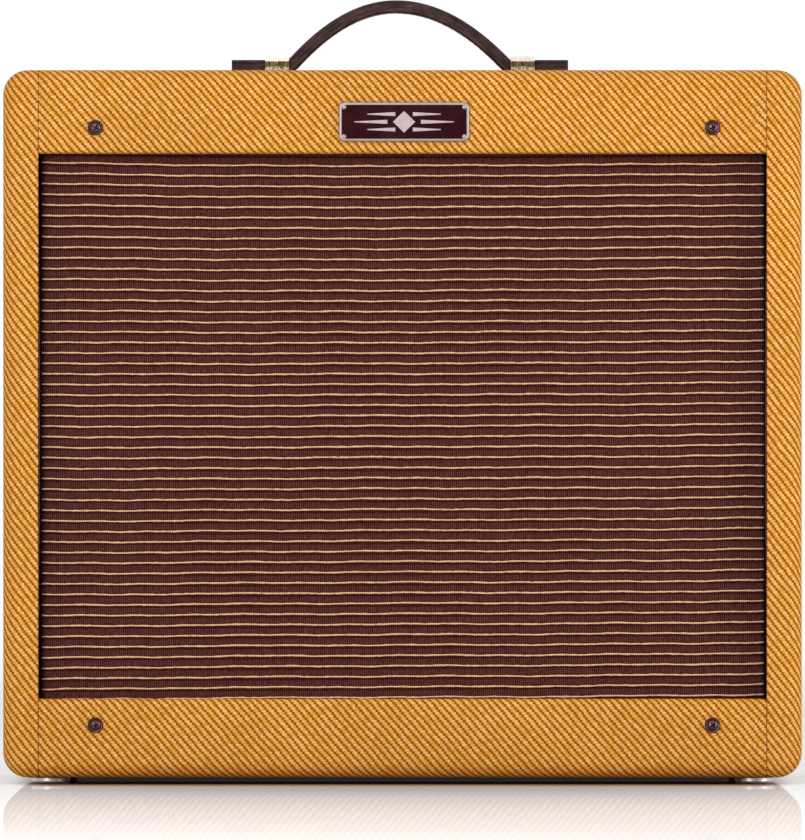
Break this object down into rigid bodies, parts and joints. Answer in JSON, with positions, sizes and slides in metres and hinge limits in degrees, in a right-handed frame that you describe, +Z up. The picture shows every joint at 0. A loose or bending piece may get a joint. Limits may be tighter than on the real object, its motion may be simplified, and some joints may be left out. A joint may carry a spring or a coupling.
{
  "type": "guitar amplifier",
  "caption": "Valve combo guitar amplifier: tweed-covered cabinet with a leather handle, oxblood grille cloth, open back, top control panel and a moving speaker cone.",
  "frame": {"origin": "on the floor plane that the feet stand on, below the middle of the whole object's box", "axes": "+Z up, -Y towards the listener (the grille faces -Y), +X to the right seen from the front"},
  "size_m": [0.4572, 0.2362, 0.4508],
  "materials": {
    "tweed": "varnished twill cloth glued over pine and plywood boards",
    "grille": "dark red woven grille cloth with pale wavy cross threads",
    "plywood": "bare birch plywood",
    "leather": "stitched dark brown strap leather, slightly polished",
    "nickel": "nickel plate",
    "chrome": "mirror chrome plate",
    "bronze": "dark bronze, glossy",
    "zinc_steel": "zinc-plated steel",
    "black_plastic": "moulded black plastic",
    "black_metal": "black enamel on pressed steel",
    "paper": "ribbed pulp paper",
    "ferrite": "dull ferrite",
    "circuit_board": "green fibreglass board",
    "valve_glass": "clear glass",
    "jewel_red": "red faceted glass",
    "transformer": "black laminated steel and black winding tape"
  },
  "bodies": {
    "cabinet": {"side_board_left": "tweed", "side_board_right": "tweed", "top_board": "tweed", "bottom_board": "tweed", "front_top_rail": "tweed", "front_bottom_rail": "tweed", "upper_back_panel": "tweed", "lower_back_panel": "tweed", "baffle_board": "plywood", "grille_cloth": "grille", "batten_left": "plywood", "batten_right": "plywood", "nameplate": "nickel", "front_screw_top_left": "bronze", "front_screw_top_right": "bronze", "front_screw_bottom_left": "bronze", "front_screw_bottom_right": "bronze", "handle_strap": "leather", "handle_clamp_left": "nickel", "handle_clamp_right": "nickel", "foot_front_left": "nickel", "foot_front_right": "nickel", "foot_rear_left": "nickel", "foot_rear_right": "nickel", "speaker_basket": "black_metal", "speaker_surround": "paper", "speaker_spider": "paper", "speaker_top_plate": "zinc_steel", "speaker_magnet": "ferrite", "speaker_back_plate": "zinc_steel", "chassis": "chrome", "circuit_board": "circuit_board", "tube_socket_board": "circuit_board", "input_jack": "nickel", "power_switch_body": "nickel", "pilot_lamp_holder": "chrome", "pilot_jewel": "jewel_red", "fuse_holder": "black_plastic", "power_tube_1": "valve_glass", "power_tube_2": "valve_glass", "preamp_tube_1": "valve_glass", "preamp_tube_2": "valve_glass", "preamp_tube_3": "valve_glass", "power_transformer": "transformer", "output_transformer": "transformer", "mains_inlet": "black_plastic", "reverb_tank": "zinc_steel", "speaker_lead": "black_plastic"},
    "speaker_moving_assembly": {"speaker_cone": "paper", "speaker_dust_cap": "paper", "speaker_voice_coil": "nickel"},
    "fat_switch_plunger": {"fat_switch_button": "black_plastic"},
    "power_lever": {"power_switch_lever": "chrome"},
    "fuse_holder_cap": {"fuse_cap": "black_plastic"},
    "volume_knob": {"knob_volume": "black_plastic"},
    "treble_knob": {"knob_treble": "black_plastic"},
    "bass_knob": {"knob_bass": "black_plastic"},
    "middle_knob": {"knob_middle": "black_plastic"},
    "master_knob": {"knob_master": "black_plastic"},
    "reverb_knob": {"knob_reverb": "black_plastic"}
  },
  "joints": [
    {"name": "volume_turn", "type": "hinge", "parent": "cabinet", "child": "volume_knob", "pos_m": [0.118, 0.0785, 0.3932], "axis": [0, 0, 1], "range_deg": [-150, 150]},
    {"name": "treble_turn", "type": "hinge", "parent": "cabinet", "child": "treble_knob", "pos_m": [0.066, 0.0785, 0.3932], "axis": [0, 0, 1], "range_deg": [-150, 150]},
    {"name": "bass_turn", "type": "hinge", "parent": "cabinet", "child": "bass_knob", "pos_m": [0.034, 0.0785, 0.3932], "axis": [0, 0, 1], "range_deg": [-150, 150]},
    {"name": "middle_turn", "type": "hinge", "parent": "cabinet", "child": "middle_knob", "pos_m": [0.002, 0.0785, 0.3932], "axis": [0, 0, 1], "range_deg": [-150, 150]},
    {"name": "master_turn", "type": "hinge", "parent": "cabinet", "child": "master_knob", "pos_m": [-0.03, 0.0785, 0.3932], "axis": [0, 0, 1], "range_deg": [-150, 150]},
    {"name": "reverb_turn", "type": "hinge", "parent": "cabinet", "child": "reverb_knob", "pos_m": [-0.062, 0.0785, 0.3932], "axis": [0, 0, 1], "range_deg": [-150, 150]},
    {"name": "fat_switch_push", "type": "slide", "parent": "cabinet", "child": "fat_switch_plunger", "axis": [0, 0, -1], "range_m": [0, 0.0025], "stiffness_N_per_m": 300, "springref_m": -0.001},
    {"name": "power_switch_throw", "type": "hinge", "parent": "cabinet", "child": "power_lever", "pos_m": [-0.143, 0.0785, 0.3935], "axis": [1, 0, 0], "range_deg": [0, 24]},
    {"name": "fuse_cap_turn", "type": "hinge", "parent": "cabinet", "child": "fuse_holder_cap", "pos_m": [-0.117, 0.0785, 0.3923], "axis": [0, 0, 1], "range_deg": [0, 90]},
    {"name": "cone_travel", "type": "slide", "parent": "cabinet", "child": "speaker_moving_assembly", "axis": [0, -1, 0], "range_m": [-0.003, 0.003], "stiffness_N_per_m": 2500}
  ]
}
